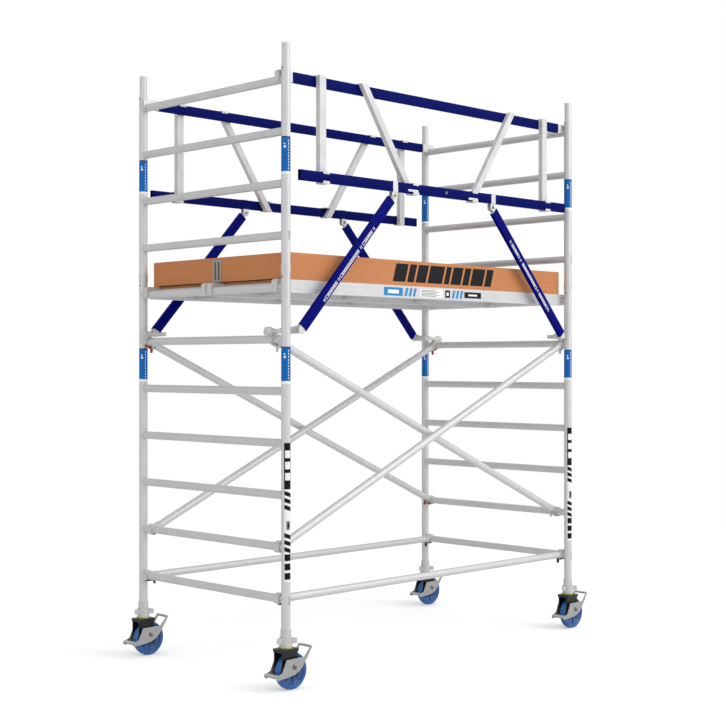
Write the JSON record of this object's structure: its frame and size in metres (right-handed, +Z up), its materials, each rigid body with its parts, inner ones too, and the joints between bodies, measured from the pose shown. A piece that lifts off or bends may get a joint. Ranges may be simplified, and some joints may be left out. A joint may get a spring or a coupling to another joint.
{
  "type": "rolling frame scaffold",
  "caption": "Rolling aluminium scaffold tower: ladder end frames, claw braces, timber-edged platform, blue folding guardrails and braked castors on adjustable legs.",
  "frame": {"origin": "centre of the scaffold's footprint, at floor level under the wheels", "axes": "+Z up, +X along the length from one end frame to the other, +Y across the width from front to back"},
  "size_m": [2.769, 1.3886, 3.478],
  "materials": {
    "tube_metal": "satin drawn tube",
    "cast_metal": "cast, lightly blasted",
    "nut_metal": "cast, satin",
    "fastener_steel": "zinc plated",
    "guard_blue": "semi-gloss powder coat",
    "guard_white": "satin powder coat",
    "deck_wood": "phenolic faced plywood, non-slip",
    "toe_wood": "planed and sealed",
    "wheel_blue": "moulded, glossy",
    "fork_black": "semi-gloss black",
    "brake_steel": "pressed, zinc plated",
    "trigger_red": "moulded",
    "trigger_blue": "moulded"
  },
  "bodies": {
    "tower": {"lower_frame_stiles": "tube_metal", "lower_frame_rungs": "tube_metal", "upper_frame_stiles": "tube_metal", "upper_frame_rungs": "tube_metal", "frame_spigots": "tube_metal", "frame_collars": "cast_metal", "frame_rivets": "fastener_steel", "horizontal_braces": "tube_metal", "diagonal_braces": "tube_metal", "brace_claws": "cast_metal", "trigger_pins": "fastener_steel", "guardrails": "guard_blue", "guardrail_posts": "guard_white", "guardrail_hooks": "guard_white", "strut_brackets": "guard_white", "strut_bolts": "fastener_steel", "deck_beams": "tube_metal", "deck_panels": "deck_wood", "deck_hooks": "cast_metal", "trapdoor_hinges": "fastener_steel", "toe_boards": "toe_wood", "toe_board_brackets": "fastener_steel", "leg_nuts": "nut_metal"},
    "trigger_front_base_left": {"trigger_front_base_left": "trigger_blue"},
    "trigger_front_base_right": {"trigger_front_base_right": "trigger_blue"},
    "trigger_back_base_left": {"trigger_back_base_left": "trigger_blue"},
    "trigger_back_base_right": {"trigger_back_base_right": "trigger_blue"},
    "trigger_front_rising_low": {"trigger_front_rising_low": "trigger_red"},
    "trigger_front_rising_high": {"trigger_front_rising_high": "trigger_red"},
    "trigger_back_rising_low": {"trigger_back_rising_low": "trigger_red"},
    "trigger_back_rising_high": {"trigger_back_rising_high": "trigger_red"},
    "trigger_front_falling_high": {"trigger_front_falling_high": "trigger_red"},
    "trigger_front_falling_low": {"trigger_front_falling_low": "trigger_red"},
    "trigger_back_falling_high": {"trigger_back_falling_high": "trigger_red"},
    "trigger_back_falling_low": {"trigger_back_falling_low": "trigger_red"},
    "trapdoor": {"trapdoor": "deck_wood"},
    "strut_front_left": {"strut_front_left": "guard_blue"},
    "leg_front_left": {"leg_front_left": "tube_metal"},
    "castor_front_left": {"fork_front_left": "fork_black", "axle_front_left": "fastener_steel"},
    "wheel_front_left": {"wheel_front_left": "wheel_blue"},
    "brake_front_left": {"brake_front_left": "brake_steel"},
    "strut_front_right": {"strut_front_right": "guard_blue"},
    "leg_front_right": {"leg_front_right": "tube_metal"},
    "castor_front_right": {"fork_front_right": "fork_black", "axle_front_right": "fastener_steel"},
    "wheel_front_right": {"wheel_front_right": "wheel_blue"},
    "brake_front_right": {"brake_front_right": "brake_steel"},
    "strut_back_left": {"strut_back_left": "guard_blue"},
    "leg_back_left": {"leg_back_left": "tube_metal"},
    "castor_back_left": {"fork_back_left": "fork_black", "axle_back_left": "fastener_steel"},
    "wheel_back_left": {"wheel_back_left": "wheel_blue"},
    "brake_back_left": {"brake_back_left": "brake_steel"},
    "strut_back_right": {"strut_back_right": "guard_blue"},
    "leg_back_right": {"leg_back_right": "tube_metal"},
    "castor_back_right": {"fork_back_right": "fork_black", "axle_back_right": "fastener_steel"},
    "wheel_back_right": {"wheel_back_right": "wheel_blue"},
    "brake_back_right": {"brake_back_right": "brake_steel"}
  },
  "joints": [
    {"name": "trigger_front_base_left_press", "type": "hinge", "parent": "tower", "child": "trigger_front_base_left", "pos_m": [-1.215, -0.592, 0.461], "axis": [0, -1, 0], "range_deg": [0, 32], "stiffness_Nm_per_rad": 0.3, "springref_deg": -17.19},
    {"name": "trigger_front_base_right_press", "type": "hinge", "parent": "tower", "child": "trigger_front_base_right", "pos_m": [1.215, -0.592, 0.461], "axis": [0, 1, 0], "range_deg": [0, 32], "stiffness_Nm_per_rad": 0.3, "springref_deg": -17.19},
    {"name": "trigger_back_base_left_press", "type": "hinge", "parent": "tower", "child": "trigger_back_base_left", "pos_m": [-1.215, 0.592, 0.461], "axis": [0, -1, 0], "range_deg": [0, 32], "stiffness_Nm_per_rad": 0.3, "springref_deg": -17.19},
    {"name": "trigger_back_base_right_press", "type": "hinge", "parent": "tower", "child": "trigger_back_base_right", "pos_m": [1.215, 0.592, 0.461], "axis": [0, 1, 0], "range_deg": [0, 32], "stiffness_Nm_per_rad": 0.3, "springref_deg": -17.19},
    {"name": "trigger_front_rising_low_press", "type": "hinge", "parent": "tower", "child": "trigger_front_rising_low", "pos_m": [-1.2087, -0.592, 0.7594], "axis": [0, -1, 0], "range_deg": [0, 32], "stiffness_Nm_per_rad": 0.3, "springref_deg": -17.19},
    {"name": "trigger_front_rising_high_press", "type": "hinge", "parent": "tower", "child": "trigger_front_rising_high", "pos_m": [1.2283, -0.592, 1.8468], "axis": [0, 1, 0], "range_deg": [0, 32], "stiffness_Nm_per_rad": 0.3, "springref_deg": -17.19},
    {"name": "trigger_back_rising_low_press", "type": "hinge", "parent": "tower", "child": "trigger_back_rising_low", "pos_m": [-1.2087, 0.545, 0.7594], "axis": [0, -1, 0], "range_deg": [0, 32], "stiffness_Nm_per_rad": 0.3, "springref_deg": -17.19},
    {"name": "trigger_back_rising_high_press", "type": "hinge", "parent": "tower", "child": "trigger_back_rising_high", "pos_m": [1.2283, 0.545, 1.8468], "axis": [0, 1, 0], "range_deg": [0, 32], "stiffness_Nm_per_rad": 0.3, "springref_deg": -17.19},
    {"name": "trigger_front_falling_high_press", "type": "hinge", "parent": "tower", "child": "trigger_front_falling_high", "pos_m": [-1.2283, -0.545, 1.8468], "axis": [0, -1, 0], "range_deg": [0, 32], "stiffness_Nm_per_rad": 0.3, "springref_deg": -17.19},
    {"name": "trigger_front_falling_low_press", "type": "hinge", "parent": "tower", "child": "trigger_front_falling_low", "pos_m": [1.2087, -0.545, 0.7594], "axis": [0, 1, 0], "range_deg": [0, 32], "stiffness_Nm_per_rad": 0.3, "springref_deg": -17.19},
    {"name": "trigger_back_falling_high_press", "type": "hinge", "parent": "tower", "child": "trigger_back_falling_high", "pos_m": [-1.2283, 0.592, 1.8468], "axis": [0, -1, 0], "range_deg": [0, 32], "stiffness_Nm_per_rad": 0.3, "springref_deg": -17.19},
    {"name": "trigger_back_falling_low_press", "type": "hinge", "parent": "tower", "child": "trigger_back_falling_low", "pos_m": [1.2087, 0.592, 0.7594], "axis": [0, 1, 0], "range_deg": [0, 32], "stiffness_Nm_per_rad": 0.3, "springref_deg": -17.19},
    {"name": "trapdoor_hinge", "type": "hinge", "parent": "tower", "child": "trapdoor", "pos_m": [-0.56, -0.526, 2.217], "axis": [1, 0, 0], "range_deg": [0, 90]},
    {"name": "strut_front_left_lift", "type": "hinge", "parent": "tower", "child": "strut_front_left", "pos_m": [-0.44, -0.66, 2.7215], "axis": [0, 1, 0], "range_deg": [0, 2.2]},
    {"name": "leg_front_left_extend", "type": "slide", "parent": "tower", "child": "leg_front_left", "axis": [0, 0, -1], "range_m": [0, 0.2]},
    {"name": "castor_front_left_swivel", "type": "hinge", "parent": "leg_front_left", "child": "castor_front_left", "pos_m": [-1.255, -0.64, 0.2], "axis": [0, 0, 1], "continuous": true},
    {"name": "wheel_front_left_spin", "type": "hinge", "parent": "castor_front_left", "child": "wheel_front_left", "pos_m": [-1.219, -0.64, 0.1], "axis": [0, 1, 0], "continuous": true},
    {"name": "brake_front_left_release", "type": "hinge", "parent": "castor_front_left", "child": "brake_front_left", "pos_m": [-1.233, -0.64, 0.124], "axis": [0, 1, 0], "range_deg": [0, 14]},
    {"name": "strut_front_right_lift", "type": "hinge", "parent": "tower", "child": "strut_front_right", "pos_m": [0.44, -0.66, 2.7215], "axis": [0, -1, 0], "range_deg": [0, 2.2]},
    {"name": "leg_front_right_extend", "type": "slide", "parent": "tower", "child": "leg_front_right", "axis": [0, 0, -1], "range_m": [0, 0.2]},
    {"name": "castor_front_right_swivel", "type": "hinge", "parent": "leg_front_right", "child": "castor_front_right", "pos_m": [1.255, -0.64, 0.2], "axis": [0, 0, 1], "continuous": true},
    {"name": "wheel_front_right_spin", "type": "hinge", "parent": "castor_front_right", "child": "wheel_front_right", "pos_m": [1.291, -0.64, 0.1], "axis": [0, 1, 0], "continuous": true},
    {"name": "brake_front_right_release", "type": "hinge", "parent": "castor_front_right", "child": "brake_front_right", "pos_m": [1.277, -0.64, 0.124], "axis": [0, 1, 0], "range_deg": [0, 14]},
    {"name": "strut_back_left_lift", "type": "hinge", "parent": "tower", "child": "strut_back_left", "pos_m": [-0.44, 0.66, 2.7215], "axis": [0, 1, 0], "range_deg": [0, 2.2]},
    {"name": "leg_back_left_extend", "type": "slide", "parent": "tower", "child": "leg_back_left", "axis": [0, 0, -1], "range_m": [0, 0.2]},
    {"name": "castor_back_left_swivel", "type": "hinge", "parent": "leg_back_left", "child": "castor_back_left", "pos_m": [-1.255, 0.64, 0.2], "axis": [0, 0, 1], "continuous": true},
    {"name": "wheel_back_left_spin", "type": "hinge", "parent": "castor_back_left", "child": "wheel_back_left", "pos_m": [-1.219, 0.64, 0.1], "axis": [0, 1, 0], "continuous": true},
    {"name": "brake_back_left_release", "type": "hinge", "parent": "castor_back_left", "child": "brake_back_left", "pos_m": [-1.233, 0.64, 0.124], "axis": [0, 1, 0], "range_deg": [0, 14]},
    {"name": "strut_back_right_lift", "type": "hinge", "parent": "tower", "child": "strut_back_right", "pos_m": [0.44, 0.66, 2.7215], "axis": [0, -1, 0], "range_deg": [0, 2.2]},
    {"name": "leg_back_right_extend", "type": "slide", "parent": "tower", "child": "leg_back_right", "axis": [0, 0, -1], "range_m": [0, 0.2]},
    {"name": "castor_back_right_swivel", "type": "hinge", "parent": "leg_back_right", "child": "castor_back_right", "pos_m": [1.255, 0.64, 0.2], "axis": [0, 0, 1], "continuous": true},
    {"name": "wheel_back_right_spin", "type": "hinge", "parent": "castor_back_right", "child": "wheel_back_right", "pos_m": [1.291, 0.64, 0.1], "axis": [0, 1, 0], "continuous": true},
    {"name": "brake_back_right_release", "type": "hinge", "parent": "castor_back_right", "child": "brake_back_right", "pos_m": [1.277, 0.64, 0.124], "axis": [0, 1, 0], "range_deg": [0, 14]}
  ]
}
